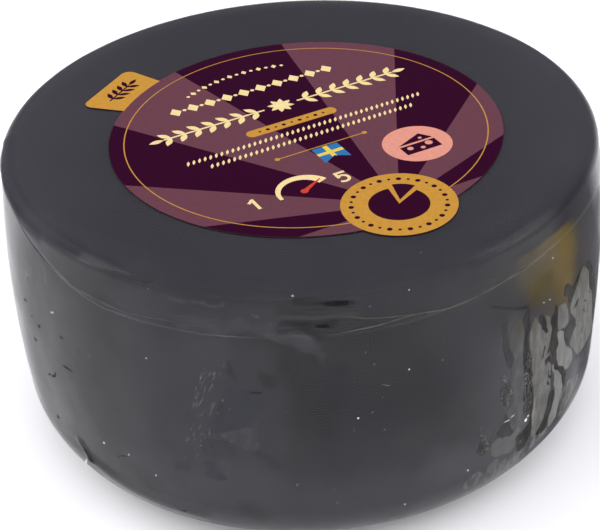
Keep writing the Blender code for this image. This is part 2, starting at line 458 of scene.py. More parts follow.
# Marks on the side are strips, each given at its two ends by azimuth, millimetres
# up and half width in millimetres. The numbers that follow are the softness of its
# edge in millimetres, and its strength.
BLOOMS_AND_SHEEN = (                # grey bloom and film haze on the wax, partly painted sheen where it catches light
    ((-31, 72, 6), (-29, 30, 8), 12, 0.42),
    ((-17, 68, 5), (-17, 30, 5), 10, 0.52),
    ((-8, 66, 2), (-9, 30, 4), 6, 0.40),
    ((0, 36, 3), (20, 36, 4), 12, 0.26),
    ((8, 60, 6), (12, 44, 6), 12, 0.10),
    ((-32, 85, 2), (36, 85, 2), 4, 0.16),
    ((-50, 60, 8), (-50, 30, 8), 12, 0.16),
    ((-34, 19, 6), (34, 18, 8), 12, 0.70),
    ((-24, 11, 2), (32, 12, 2), 5, 0.50),
    ((26, 74, 4), (34, 40, 6), 10, 0.34),
    ((24, 24, 3), (46, 19, 6), 9, 0.85),
    ((38, 56, 4), (38, 26, 6), 7, 0.50),
    ((45, 54, 7), (46, 26, 8), 9, 0.50),
    ((-34, 80, 3), (-8, 79, 2), 3, 0.32),
    ((6, 80, 2), (38, 79, 4), 4, 0.24),
    ((-60, 84, 4), (-38, 82, 3), 3, 0.20),
)
HIGHLIGHT_STREAKS = (               # painted highlights: fine pale streaks beside the weld, and on the ridge that falls from it
    ((-31, 78.4, 0.20), (-11, 78.8, 0.35), 0.5, 0.40),
    ((-25, 83.6, 0.30), (-14, 83.2, 0.50), 0.5, 0.62),
    ((-26, 80.8, 0.30), (-20, 80.8, 0.25), 0.5, 0.55),
    ((-22, 76.9, 0.60), (-6, 76.9, 1.40), 1.6, 0.46),
    ((-7, 75.4, 0.90), (-1, 73.0, 1.30), 1.4, 0.56),
    ((-1, 73.0, 1.20), (2.4, 67.2, 0.50), 1.6, 0.56),
    ((11, 82.2, 0.20), (13, 82.0, 0.20), 0.3, 0.50),
    ((19, 82.4, 0.15), (21, 82.5, 0.15), 0.3, 0.40),
    ((-63, 66.0, 0.50), (-61, 70.0, 0.60), 0.9, 0.60),
    ((-54.4, 76, 0.40), (-54.6, 72, 0.60), 1.0, 0.60),
)
THIN_SPOTS = (            # where the ochre cheese shows through the wax
    ((43.0, 77.8, 2.2), (54.6, 77.6, 1.8), 4.0, 0.86),
    ((46.6, 73.0, 6.0), (53.6, 72.0, 4.8), 6.5, 0.90),
    ((52.8, 68.0, 4.8), (54.6, 63.0, 3.4), 6.0, 0.92),
    ((45.5, 66.0, 3.5), (49.0, 62.0, 2.5), 6.0, 0.55),
    ((53.0, 58.0, 2.0), (54.0, 51.0, 1.2), 3.5, 0.35),
    ((67.0, 84.5, 2.0), (70.0, 83.5, 1.2), 3.0, 0.30),
)
SMUDGES = (               # darker smudges and short dark scores
    ((-13.4, 67.0, 0.6), (-12.8, 63, 0.9), 0.8, 0.55),
    ((-8.4, 62.6, 1.4), (-6.8, 62.0, 1.6), 1.8, 0.50),
    ((-10.4, 39.2, 0.3), (-7.4, 34, 0.8), 1.6, 0.40),
    ((-12.6, 19, 1.4), (-10.8, 15, 1.6), 3.0, 0.45),
    ((-28.0, 12.6, 0.4), (-23.8, 13.6, 0.7), 1.0, 0.60),
    ((-37.0, 21, 2.0), (-32.0, 20, 2.0), 4.0, 0.40),
    ((-66.0, 57.0, 0.5), (-62.0, 58.6, 0.5), 1.2, 0.35),
    ((58.6, 69.0, 0.5), (60.2, 60.0, 0.8), 1.6, 0.50),
)
SIDE_MILLIMETRES = 83.0   # the side's radius, which turns azimuth into distance round it
TOP_EDGE = 80.0 * MM


def strip_distance(spot, first, last):
    """How many millimetres a spot of the unrolled side lies outside a tapering strip."""
    start, end = (Vector((math.radians(azimuth) * SIDE_MILLIMETRES, up, 0)) for azimuth, up, _ in (first, last))
    along = end - start
    away = spot.vector("SUBTRACT", start)
    share = away.vector("DOT_PRODUCT", along / along.length_squared, output="Value")
    share = share.larger(0.0).smaller(1.0)
    reach = spot.add("ShaderNodeVectorMath", {0: along, "Scale": share}, operation="SCALE")
    return away.vector("SUBTRACT", reach).length() - share.maths("MULTIPLY_ADD", last[2] - first[2], first[2])


def inside_strip(spot, first, last, softness):
    """1 well inside a tapering strip and 0 well outside it."""
    return strip_distance(spot, first, last).step(softness, -softness * 0.3)


def unrolled(place):
    """The side laid flat: millimetres round from the front, and millimetres up, then on inwards over the top."""
    x, y, height = place.split()
    radius = place.join(x, y, 0.0).length()
    inward = (TOP_EDGE - radius).larger(0.0) * height.step(WHEEL_HEIGHT - 3 * MM, WHEEL_HEIGHT - 1 * MM)
    return place.join(x.maths("ARCTAN2", -y) * SIDE_MILLIMETRES, (height + inward) / MM, 0.0)


def on_top(height):
    """1 on the flat top and 0 on the side."""
    return height.step(WHEEL_HEIGHT - 3 * MM, WHEEL_HEIGHT - 0.6 * MM)


wax, shader, place = start_material("near_black_wax")
flat = unrolled(place)
soft_flat = flat.shaken(place, 90.0, 12.0)
crisp_flat = flat.shaken(place, 150.0, 6.0).shaken(place, 560.0, 2.2)
_, up, _ = flat.split()
x, _, height = place.split()
cloud = place.noise(22.0, 4.0, 0.55)
colour = cloud.step(0.35, 0.70).tint(NEAR_BLACK, WORN_BLACK)
# Painted sheen: besides bloom and haze, these grey patches lighten the wax where it catches light.
for first, last, softness, strength in BLOOMS_AND_SHEEN:
    colour = (inside_strip(soft_flat, first, last, softness) * strength).tint(colour, GREY_BLOOM_AND_SHEEN)
# Painted sheen: the top is made lighter grey all over, and more so towards its left and right ends.
side_light = x.size().step(0.030, 0.085) * height.step(WHEEL_HEIGHT - 6 * MM, WHEEL_HEIGHT)
colour = (side_light * 0.22 + on_top(height) * 0.25).tint(colour, GREY_BLOOM_AND_SHEEN)
# Painted highlights along the weld and on the ridge below it.
for first, last, softness, strength in HIGHLIGHT_STREAKS:
    colour = (inside_strip(crisp_flat, first, last, softness) * strength).tint(colour, GREY_BLOOM_AND_SHEEN)
for first, last, softness, strength in SMUDGES:
    colour = (inside_strip(crisp_flat, first, last, softness) * strength).tint(colour, SUCKED_BLACK)
thin = inside_strip(soft_flat, (40, 74, 3), (57, 66, 6), 12.0)
colour = (thin * 0.8).tint(colour, BROWN_BLOOM)
band_top = up.step(81.2, 79.8)
mottle = place.noise(140.0, 3.0, 0.6).step(0.62, 0.36)
for first, last, softness, strength in THIN_SPOTS:
    spot = inside_strip(soft_flat, first, last, softness) * (mottle * 0.35 + 0.65)
    colour = (spot * band_top * strength).tint(colour, (place.noise(60.0).step(0.48, 0.70) * 0.6).tint(OCHRE, OLIVE))
plug(wax.node_tree, [
    (shader.inputs["Base Color"], colour),
    (shader.inputs["Roughness"], cloud.step(0.3, 0.7) * 0.12 + 0.38),
    (shader.inputs["Specular IOR Level"], 0.02),
])

cheese = make_skin("waxed_cheese", wax, WAX_UNDER_FILM)
finish_piece(cheese, "wax_under_film", "wrapped_wheel")


# The film does not cling evenly. Where it stands off the wax a skin of air makes
# it look pale, and where it is sucked on it looks dark, with ragged edges. These
# patches are cut from a thin sheet that lies between the wax and the film.

PATCH_INSET = 0.18 * MM
PATCH_SHEET = 0.06 * MM
PATCH_GRID = 2.0          # millimetres between the spare points that let a patch bend
RAGGED_STEP = 0.45
RAGGED_COARSE = (0.40, 0.50)   # how dense and how deep the large teeth of an edge are
RAGGED_FINE = (1.60, 0.26)
PATCHES = (               # tones from pale to dark, each outline in azimuth and millimetres up
    # the large pale panel at the far right, and the pale drop beside it
    ("pale", ((60.5, 60.5), (62, 61), (64, 58), (65.2, 55), (65.4, 51), (67, 48.5), (68.5, 45), (69.2, 40),
              (70.4, 35), (71, 31.5), (66, 31), (62, 31.8), (60, 33.6), (58.8, 36), (57.7, 38), (56, 40.2),
              (57.6, 44), (59, 46), (57, 49.4), (56, 52), (56.2, 54.5), (58, 57), (59.6, 59.6))),
    ("bright", ((51, 48.9), (51.6, 46.6), (50.9, 44.2), (51.2, 41.3), (51.9, 37.8), (52.9, 35.4), (54.5, 33.4),
                (56.1, 32.5), (57.7, 32.6), (58.4, 34.2), (57.7, 37.2), (56.3, 39.2), (55.1, 41), (54.1, 42.8),
                (53.6, 45.1), (53.3, 47.8), (52.3, 49.2))),
    ("pale", ((51.1, 57.5), (53.4, 57), (55.2, 53.4), (55.6, 49.6), (54.2, 48), (52.3, 49.4), (51.2, 49.4))),
    # the strip below the drop
    ("bright", ((50.4, 41), (51.5, 37), (52.8, 34.5), (53.8, 31.5), (54.6, 28), (54.9, 25), (53.6, 21), (53.5, 18.6),
                (51.8, 17), (50.4, 16.6), (50.4, 19.5), (51, 23), (51.6, 27), (51.6, 30), (50.6, 31.5), (51.2, 34),
                (50.4, 37), (49.6, 39.5))),
    ("mottled", ((55.2, 27.5), (57.5, 27), (60, 25.4), (63.5, 22.6), (60.5, 18.6), (56.5, 16.8), (53.8, 16.4), (54.2, 22.5))),
    ("dim", ((55, 32.4), (58.4, 32), (62, 31.2), (66, 30.6), (69.5, 30.6), (67, 26), (63.8, 22.8), (60, 25.8),
             (57.5, 27.4), (55.3, 28))),
    # the middle panel, and the long strip at its left
    ("pale", ((42.8, 57), (43.6, 60), (45, 58.9), (46.4, 57.4), (48, 57.6), (49, 55.4), (49, 50), (48.4, 45),
              (49.4, 40), (49.6, 35), (49.4, 30), (49, 25), (48.4, 22), (46.6, 19.4), (45, 17.6), (44.5, 21.2),
              (44.2, 25.3), (44.1, 31), (44.2, 36), (43.8, 40), (43.3, 46), (42.8, 50), (42.2, 53.4))),
    ("soft", ((37.4, 61), (39.4, 63.4), (40.8, 61.4), (41, 57.6), (40.8, 53.4), (40.8, 48.8), (41.1, 44), (41.2, 37),
              (41.5, 31.5), (42.6, 27), (42.4, 24.4), (40.7, 23.7), (39.9, 23.3), (39.9, 19.9), (39.5, 18.7),
              (37.5, 19.3), (35.2, 19.9), (34, 21.6), (33.5, 24.1), (33.2, 28.3), (34.6, 31), (37.8, 35.6),
              (38.6, 38), (38.3, 41.5), (37.6, 45), (38.2, 49.9), (38.4, 53), (37.6, 55.3), (37.1, 58))),
    ("lobe", ((33.6, 22.4), (33.4, 25.4), (34.8, 27.2), (37.0, 25.6), (38.6, 24.8), (39.8, 26.4), (41.6, 25.8),
              (40.6, 23.8), (39.9, 23.2), (39.8, 20), (39.4, 18.9), (37.5, 19.4), (35.2, 20.1))),
    ("lobe", ((33.1, 17.5), (33.8, 19.4), (35.4, 19.6), (36.2, 17.8), (35.6, 16), (34.2, 15.4), (33.2, 16))),
    ("mottled", ((28.0, 16.6), (29.4, 18), (31, 18.4), (32.4, 16.4), (31.8, 13.6), (29, 12.8), (27.6, 14))),
    ("mottled", ((33, 14.6), (36.4, 17.6), (39.6, 18.2), (42, 16.4), (45, 17.2), (46.8, 18.8), (50, 17.6), (50.6, 15.6),
                 (46, 13.8), (41, 12.6), (36, 12.0), (33, 12.4))),
    # a fine dark wrinkle, then dark clinging shapes from left to right
    ("wrinkle", ((33, 71.5), (34.6, 70.5), (36.6, 68.8), (38.6, 67.2), (40.4, 66), (41.8, 65.2), (41.8, 64.5), (40.2, 65.1),
              (38.4, 66.3), (36.4, 67.9), (34.4, 69.6), (33, 70.8))),
    ("faint", ((35.5, 63.4), (36, 64.5), (36.9, 64.2), (37, 61.1), (37.05, 58), (37.6, 55.3), (38.3, 53), (38.2, 49.9),
               (37.8, 48.5), (37.3, 48.8), (36.8, 50.1), (36.25, 52.6), (35.85, 55.3), (35.7, 58), (35.85, 60.3))),
    ("froth", ((35.3, 47.6), (36.2, 48.4), (37.4, 45), (38.3, 41.5), (38.6, 38), (38, 37), (35.5, 37.2), (35.1, 41),
               (35.3, 45))),
    ("faint", ((35, 29.9), (35.8, 30.2), (36.0, 33), (36.8, 34.6), (37.3, 31.4), (38.2, 29.6), (38.35, 28), (39.4, 26.2),
               (38.5, 25.1), (36.9, 26), (35.2, 27.4))),
    ("froth", ((30.4, 34), (31.6, 34.2), (32.6, 29), (33.4, 25), (31.8, 23.4), (30, 24.6), (31, 29))),
    ("dark", ((41.3, 62.6), (41.9, 62.4), (41.96, 64.5), (42.5, 64.3), (42.6, 60.3), (42.7, 57.6), (42, 56), (41.8, 54.2),
              (42.2, 51.1), (42.6, 49.5), (42.9, 46.1), (42.1, 46.5), (41.2, 46.1), (40.8, 48.8), (40.8, 53.4),
              (41.2, 55.3), (41, 57.6), (40.9, 60.9))),
    ("froth", ((41.9, 50.5), (42.7, 50), (43.1, 46), (43.2, 42.5), (44, 40), (43.7, 37), (43.8, 33), (44, 29.8),
               (42.5, 29.5), (41.6, 31.5), (41.2, 35), (41.4, 40), (40.9, 43), (41.3, 46.5))),
    ("dark", ((39.9, 22.8), (42.4, 23.7), (43.7, 25.6), (43.85, 35), (44.1, 35), (44.2, 25.3), (44.7, 21.2), (44.4, 19.5),
              (43, 18.3), (41.8, 16.6), (40.7, 17.4), (40.1, 19.9))),
    ("dark", ((45.1, 58.8), (46.3, 59.7), (47.4, 56.8), (47.5, 55.3), (47.8, 52.6), (47.9, 52), (47.1, 51.8), (46.5, 53.6),
              (45.8, 55.5), (45.6, 56.8), (45.1, 57.9))),
    ("dark", ((46.9, 48.3), (47.4, 48), (46.9, 46.4), (46.6, 44.4), (46.1, 44.6), (46.4, 46.6))),
    ("dark", ((48.7, 49.2), (49.2, 49.4), (48.9, 46.6), (48.4, 44.9), (47.8, 45.5), (48.3, 46.7))),
    ("dark", ((47.0, 43.3), (48.2, 44), (49, 43.2), (49.8, 41.4), (50.4, 39.6), (49.9, 39.4), (49.2, 41), (48.5, 42.5),
              (47.6, 41.2), (47.3, 42.2))),
    ("dark", ((50.3, 58.8), (51, 58.4), (51, 55.7), (50.85, 52.6), (50.9, 49.9), (51.2, 47.2), (51.65, 45.3), (51.5, 43.8),
              (50.6, 42.8), (50.9, 40.2), (51.7, 38.2), (52.9, 36.3), (54.5, 34.2), (55.4, 32.6), (55.8, 28.4), (55, 25),
              (54.5, 28.5), (54.1, 31), (53.1, 33.2), (52.2, 35.3), (50.8, 37.6), (50, 40.5), (49.7, 43.2), (49.1, 44.9),
              (49.4, 46.5), (49.3, 48.8), (49, 49.9), (49, 55.3), (50.05, 56.1))),
    ("dark", ((49.4, 29.9), (51, 29.9), (51.7, 28.3), (51.4, 24.9), (51, 22.4), (50.1, 19.9), (50, 17), (46.4, 17.4),
              (46.5, 19.3), (48.1, 20.8), (48.6, 22.4), (49, 25.3), (49.3, 27.8))),
    ("dark", ((48.6, 39.6), (49.2, 36.6), (50.1, 35.8), (49.9, 34.5), (49.1, 35.3), (48.6, 37.4))),
    ("dark", ((48.2, 35.2), (48.9, 34.3), (49.4, 33.4), (48.9, 33.4), (48.3, 34.2))),
    ("dark", ((53.6, 46.5), (54.9, 47.2), (56.7, 48.4), (58, 46.8), (59.4, 44.2), (57.7, 43.9), (56.1, 42.5), (55.1, 41),
              (54.1, 42.8))),
    ("dark", ((53.4, 61.4), (55, 61.8), (56.2, 59.6), (57.8, 59), (60, 60.6), (59, 57.4), (56.6, 56.2), (55.6, 54.4),
              (55, 57.2), (53.8, 58))),
    ("dark", ((61.8, 46.8), (63.2, 44.9), (64.4, 44), (63, 45.6), (62.2, 47))),
    ("dark", ((62.4, 49.4), (63.4, 47.6), (64, 47.4), (63.2, 49))),
    ("dark", ((57.4, 51.6), (58.6, 52.6), (60.4, 53.4), (59.2, 51.8), (58, 50.6))),
    ("dark", ((65, 50.2), (66, 48.6), (66.8, 47.8), (66, 49.8))),
    ("bright", ((61.6, 38.6), (62.4, 36.4), (63, 36.6), (62.4, 38.8))),
    ("bright", ((44.4, 33), (44.9, 33), (45.2, 24), (44.8, 21.6), (44.4, 25))),
    ("dark", ((64.2, 59), (65.4, 56), (65.8, 51), (67.6, 48), (69, 44.4), (70, 39), (71.4, 33), (73, 34), (72, 42),
              (70, 50), (67, 57), (64.6, 61))),
    # creases on the front, where the film is drawn tight under the weld and above it; their dark tone is painted shade
    # in the crease
    ("crease_shade", ((-2.8, 85.4), (2, 84.5), (7.6, 83.7), (8, 81.2), (4, 82), (0.2, 83), (-2.3, 83.5))),
    ("crease_shade", ((-4.8, 79.4), (5, 79), (4.6, 76.4), (2.4, 74), (0.8, 73.4), (-0.6, 75.5), (-3, 77.6))),
    # clinging patches on the front, with a pale crescent beside them
    ("cling", ((-14.5, 59.5), (-12, 58.5), (-7.5, 59), (-7.2, 57.6), (-10, 57), (-8.2, 55.8), (-8, 53), (-9.2, 51.5),
               (-10.5, 49), (-12.5, 47), (-14, 45), (-17, 44.5), (-19.5, 42), (-18.2, 46), (-17.2, 50), (-16, 54),
               (-15.2, 57))),
    ("haze", ((-17, 43.6), (-13, 46), (-10.2, 47.5), (-9.6, 42), (-10.4, 38.5), (-13, 40), (-14.6, 42))),
    ("cling", ((-20, 41.5), (-17, 42), (-14.5, 41), (-13.2, 39), (-13.6, 37), (-16, 36), (-18, 35.2), (-20.3, 36),
               (-20.6, 38.6))),
    ("haze", ((-17.4, 34.8), (-15.6, 34.6), (-14.8, 32), (-15.4, 29.2), (-16.6, 29.8), (-16.2, 32), (-17.2, 33.4))),
    ("cling", ((-20.3, 33.5), (-18.5, 34.6), (-17.4, 33.4), (-18, 31.5), (-16.6, 29.5), (-15.8, 28), (-19, 27.6),
               (-20.2, 28.6), (-19.4, 31.3))),
    ("cling", ((-26, 31), (-24.5, 32), (-23, 31.6), (-22.4, 30), (-24, 28.2), (-26, 28.4))),
)
PATCH_TONES = {           # two shades for each, and how far froth breaks it up
    "bright": ((0.184, 0.181, 0.176), (0.138, 0.136, 0.129), 0.0),
    "pale": ((0.134, 0.131, 0.125), (0.092, 0.090, 0.082), 0.0),
    "mottled": ((0.152, 0.152, 0.150), (0.046, 0.045, 0.041), 0.0),
    "soft": ((0.092, 0.092, 0.094), (0.060, 0.061, 0.060), 0.0),
    "lobe": ((0.126, 0.126, 0.128), (0.102, 0.102, 0.102), 0.0),
    "dim": ((0.062, 0.053, 0.068), (0.024, 0.022, 0.028), 0.3),
    "froth": ((0.150, 0.150, 0.144), (0.012, 0.011, 0.010), 1.0),
    "faint": ((0.020, 0.022, 0.023), (0.012, 0.011, 0.012), 0.0),
    "dark": ((0.0320, 0.0290, 0.0245), (0.0095, 0.0085, 0.0080), 0.2),
    "wrinkle": ((0.0052, 0.0050, 0.0052), (0.0032, 0.0030, 0.0032), 0.0),
    # painted shade in the front creases
    "crease_shade": ((0.0145, 0.0138, 0.0165), (0.0090, 0.0085, 0.0105), 0.0),
    "cling": ((0.0215, 0.0225, 0.0330), (0.0320, 0.0310, 0.0440), 0.0),
    "haze": ((0.056, 0.055, 0.064), (0.040, 0.040, 0.046), 0.0),
}


def cut_sheet(fields, spare=()):
    """Cuts overlapping outlines into triangles, and says in which of the outlines each of them lies."""
    points, faces = [], []
    for _, outline in fields:
        faces.append(list(range(len(points), len(points) + len(outline))))
        points += outline
    spots, _, triangles, _, _, owners = geometry.delaunay_2d_cdt(points + list(spare), [], faces, 0, 1e-4, True)
    return spots, triangles, owners


def clear_loose_points(mesh):
    """Drops the points that no face uses."""
    edit = bmesh.new()
    edit.from_mesh(mesh)
    bmesh.ops.delete(edit, geom=[vertex for vertex in edit.verts if not vertex.link_faces], context="VERTS")
    edit.to_mesh(mesh)
    edit.free()


def rounded(outline):
    """The outline with each corner cut back to a quarter of its sides."""
    ahead = outline[1:] + outline[:1]
    return [spot for start, end in zip(outline, ahead) for spot in (start.lerp(end, 0.25), start.lerp(end, 0.75))]


def ragged(outline):
    """The outline in short steps, anticlockwise, each pushed aside by a fixed noise like a torn edge."""
    if sum(start.cross(end) for start, end in zip(outline, outline[1:] + outline[:1])) < 0:
        outline = outline[::-1]
    edge = []
    for start, end in zip(outline, outline[1:] + outline[:1]):
        steps = max(1, round((end - start).length / RAGGED_STEP))
        for step in range(steps):
            spot = start.lerp(end, step / steps)
            for density, depth in (RAGGED_COARSE, RAGGED_FINE):
                spot = spot + noise.noise_vector(spot.to_3d() * density).to_2d() * depth
            edge.append(spot)
    return edge


def thickened(piece, thickness, rim_material=0):
    """Gives a sheet its thickness, downwards from its outer face."""
    sheet = piece.modifiers.new("sheet", "SOLIDIFY")
    sheet.thickness = thickness
    sheet.offset = -1.0
    sheet.material_offset = rim_material
    sheet.material_offset_rim = rim_material


def patch_material(name, first, second, froth):
    """Air or wax seen through the film: cloudy, drawn out downwards, and broken up where it froths."""
    material, shader, place = start_material("patch_" + name)
    flat = unrolled(place)
    drawn = flat.vector("MULTIPLY", (1.0, 0.35, 1.0))
    cloud = drawn.noise(0.45, 5.0, 0.68).step(0.34, 0.62)
    colour = cloud.tint(first, second)
    if froth:
        foam = flat.noise(1.5, 3.0, 0.65).step(0.47, 0.53)
        colour = (foam * froth).tint(colour, second if name == "froth" else first)
    if name in ("pale", "soft", "bright"):
        _, up, _ = flat.split()
        colour = (up.step(52.0, 62.0) * 0.6).tint(colour, OLIVE)
    if name == "soft":
        away, _, _ = flat.split()
        colour = (away.step(59.0, 50.0) * 0.5).tint(colour, WORN_BLACK)
    plug(material.node_tree, [
        (shader.inputs["Base Color"], colour),
        (shader.inputs["Roughness"], cloud * 0.2 + 0.5),
        (shader.inputs["Specular IOR Level"], 0.02),
    ])
    return material


patch_fields = []
for tone, outline in PATCHES:
    outline = [Vector((math.radians(azimuth) * SIDE_MILLIMETRES, up)) for azimuth, up in outline]
    patch_fields.append((tone, ragged(rounded(outline))))
patch_points = [point for _, outline in patch_fields for point in outline]
low = Vector(min(point[axis] for point in patch_points) for axis in (0, 1))
high = Vector(max(point[axis] for point in patch_points) for axis in (0, 1))
spare = [Vector((across, up)) for across in np.arange(low.x, high.x, PATCH_GRID)
         for up in np.arange(low.y, high.y, PATCH_GRID)]
spots, triangles, owners = cut_sheet(patch_fields, spare)
kept = [number for number, owner in enumerate(owners) if owner]
spots = np.array([tuple(spot) for spot in spots])
laid = on_side(np.degrees(spots[:, 0] / SIDE_MILLIMETRES), spots[:, 1], PATCH_INSET)
patch_mesh = bpy.data.meshes.new("clinging_patches")
patch_mesh.from_pydata(laid.tolist(), [], [triangles[number] for number in kept])
names = list(PATCH_TONES)
for name, tones in PATCH_TONES.items():
    patch_mesh.materials.append(patch_material(name, *tones))
for polygon, number in zip(patch_mesh.polygons, kept):
    polygon.material_index = names.index(patch_fields[max(owners[number])][0])
clear_loose_points(patch_mesh)
patches = bpy.data.objects.new("clinging_patches", patch_mesh)
bpy.context.collection.objects.link(patches)
thickened(patches, PATCH_SHEET)
finish_piece(patches, "wax_under_film", "wrapped_wheel")


# The shrink film is a clear tube, welded and pulled tight by heat. It clings
# to the wax all round and is doubled above the welded edge on the shoulder.

FILM_INSET = 0.05 * MM
FILM_IOR = 1.42
FILM_ROUGHNESS = 0.16
TOP_DULL = 0.6            # the film is slack on the top and shines less there
DULL_SPOTS = (            # where the film lies flat on the wax and shines less
    ((59, 80, 10), (72, 32, 14), 10, 0.93),
    ((47, 62, 8), (49, 20, 10), 7, 0.80),
    ((-90, 87.0, 2.0), (-44, 86.8, 0.6), 1.6, 0.90),
    ((-80, 85.6, 1.6), (-56, 84.8, 1.4), 1.8, 0.75),
    ((-63, 78, 3), (-63, 26, 3), 9, 0.18),
    ((6, 62, 5), (8, 46, 6), 14, 0.10),
    ((30, 87.4, 1.4), (60, 87.2, 1.8), 2.8, 0.28),
    ((-44, 86.8, 0.6), (-28, 86.8, 0.6), 1.6, 0.35),
    ((-2, 84.4, 0.8), (7.5, 82.4, 1.1), 1.4, 0.14),
    ((-4, 79.0, 0.6), (4.5, 77.9, 0.9), 1.4, 0.28),
    ((-0.6, 77.0, 0.8), (1.8, 74.6, 0.7), 1.4, 0.30),
    ((-50.2, 21.2, 0.6), (-47.2, 17.4, 0.9), 1.0, 0.85),
)

film, shader, place = start_material("clear_shrink_film")
tree = film.node_tree
tree.nodes.remove(shader)
flat = unrolled(place)
crisp_flat = flat.shaken(place, 110.0, 3.0)
shine = None
for first, last, softness, strength in DULL_SPOTS:
    bright = 1 - inside_strip(crisp_flat, first, last, softness) * strength
    shine = shine * bright if shine else bright
shine = shine * (place.noise(48.0, 3.0, 0.6).step(0.25, 0.70) * 0.30 + 0.82)
_, _, height = place.split()
shine = shine * (1 - on_top(height) * TOP_DULL)
ripple = (place.noise(26.0, 2.0, 0.5) + place.noise(95.0, 2.0, 0.5) * 0.12).bump(1.6 * MM, 0.26)
mirror = place.add("ShaderNodeFresnel", {"IOR": FILM_IOR, "Normal": ripple}) * shine
gloss = place.add("ShaderNodeBsdfGlossy", {"Roughness": FILM_ROUGHNESS, "Normal": ripple})
clear = place.add("ShaderNodeBsdfTransparent")
skin = place.add("ShaderNodeMixShader", {0: mirror, 1: clear, 2: gloss})
tree.links.new(skin.socket, tree.nodes["Material Output"].inputs["Surface"])

wrap = make_skin("shrink_film", film, FILM_INSET)
finish_piece(wrap, "wax_under_film", "wrapped_wheel")


# The two ends of the film are melted together along a thin bead, which runs
# round under the shoulder. Beside it the film's cut ends leave a second line.

BEAD_STEP = 0.8 * MM
BEAD_WOBBLE = 0.10 * MM
BEAD_INSET = 0.02 * MM
BEADS = (                 # name, thickness in millimetres, colour, which is a painted highlight, and stations of azimuth and millimetres up
    ("left_weld_bead", 0.34, (0.078, 0.078, 0.084),
     ((-68, 83.0), (-62, 81.2), (-58, 79.5), (-54, 78.3), (-50, 77.2), (-45, 76.3), (-40, 75.2), (-35, 74.6), (-29, 74.2),
      (-22, 74.4), (-14, 74.6), (-8, 74.8), (-5, 75.2))),
    ("left_film_end", 0.26, (0.085, 0.085, 0.092),
     ((-48, 77.3), (-46, 76.9), (-40, 76.4), (-33, 75.8), (-25, 76.8), (-18, 76.6))),
    ("right_weld_bead", 0.32, (0.096, 0.090, 0.072),
     ((2.4, 74.8), (7.5, 75.4), (12, 75.8), (15.5, 76.5), (18.5, 76.8), (22, 76.0), (26, 75.5), (32, 76.2), (40, 76.9),
      (45, 76.9), (49, 76.5))),
    ("right_film_end", 0.26, (0.080, 0.075, 0.060),
     ((5.4, 78.9), (8, 78.6), (13, 77.6), (16, 77.1), (19, 76.8))),
)


def bead_tree(material):
    """Sweeps a slightly uneven round bead along the path held in the object's edges."""
    tree = bpy.data.node_groups.new("melted_bead", "GeometryNodeTree")
    tree.interface.new_socket("Path", in_out="INPUT", socket_type="NodeSocketGeometry")
    tree.interface.new_socket("Radius", in_out="INPUT", socket_type="NodeSocketFloat")
    tree.interface.new_socket("Step", in_out="INPUT", socket_type="NodeSocketFloat")
    tree.interface.new_socket("Wobble", in_out="INPUT", socket_type="NodeSocketFloat")
    tree.interface.new_socket("Bead", in_out="OUTPUT", socket_type="NodeSocketGeometry")
    start = tree.nodes.new("NodeGroupInput")
    path, radius, step, wobble = (Wire(tree, socket) for socket in start.outputs[:4])
    spot = path.add("GeometryNodeInputPosition")
    line = path.add("GeometryNodeMeshToCurve", {0: path})
    line = line.add("GeometryNodeResampleCurve", {"Curve": line, "Length": step}, mode="LENGTH")
    push = spot.add("ShaderNodeTexNoise", {"Vector": spot, "Scale": 180.0}, output="Color")
    push = push.vector("SUBTRACT", (0.5, 0.5, 0.5)).scaled(wobble)
    line = line.add("GeometryNodeSetPosition", {"Geometry": line, "Offset": push})
    swell = spot.noise(420.0, 2.0).step(0.30, 0.70) * 0.9 + 0.35
    along = spot.add("GeometryNodeSplineParameter")
    ends = (along.step(0.0, 0.10) * along.step(1.0, 0.90)).larger(0.15)
    ring = spot.add("GeometryNodeCurvePrimitiveCircle", {"Resolution": 8, "Radius": 1.0})
    sockets = {"Curve": line, "Profile Curve": ring, "Scale": radius * swell * ends, "Fill Caps": True}
    bead = line.add("GeometryNodeCurveToMesh", sockets)
    bead = bead.add("GeometryNodeSetShadeSmooth", {"Geometry": bead})
    bead = bead.add("GeometryNodeRealizeInstances", {"Geometry": bead})
    bead = bead.add("GeometryNodeSetMaterial", {"Geometry": bead, "Material": material})
    end = tree.nodes.new("NodeGroupOutput")
    tree.links.new(bead.socket, end.inputs["Bead"])
    return tree


# The bead's pale colour is a painted highlight of the light the clear film catches.
for name, thickness, bead_highlight, stations in BEADS:
    bead_film, shader, place = start_material(name)
    streaky = place.noise(260.0, 3.0, 0.6).step(0.34, 0.62)
    plug(bead_film.node_tree, [
        (shader.inputs["Base Color"], streaky.tint([part * 0.35 for part in bead_highlight], bead_highlight)),
        (shader.inputs["Roughness"], streaky * 0.2 + 0.3),
        (shader.inputs["Specular IOR Level"], 0.3),
    ])
    azimuths = np.arange(stations[0][0], stations[-1][0], 0.5)
    heights = np.interp(azimuths, *zip(*stations))
    heights = np.convolve(np.pad(heights, 3, mode="edge"), np.ones(7) / 7, mode="valid")
    path = bpy.data.meshes.new(name)
    edges = [(index, index + 1) for index in range(len(azimuths) - 1)]
    path.from_pydata(on_side(azimuths, heights, BEAD_INSET).tolist(), edges, [])
    seed = bpy.data.objects.new(name, path)
    bpy.context.collection.objects.link(seed)
    values = {"Radius": thickness / 2 * MM, "Step": BEAD_STEP, "Wobble": BEAD_WOBBLE}
    finish_piece(run_tree(seed, bead_tree(bead_film), values), "wax_under_film", "wrapped_wheel")
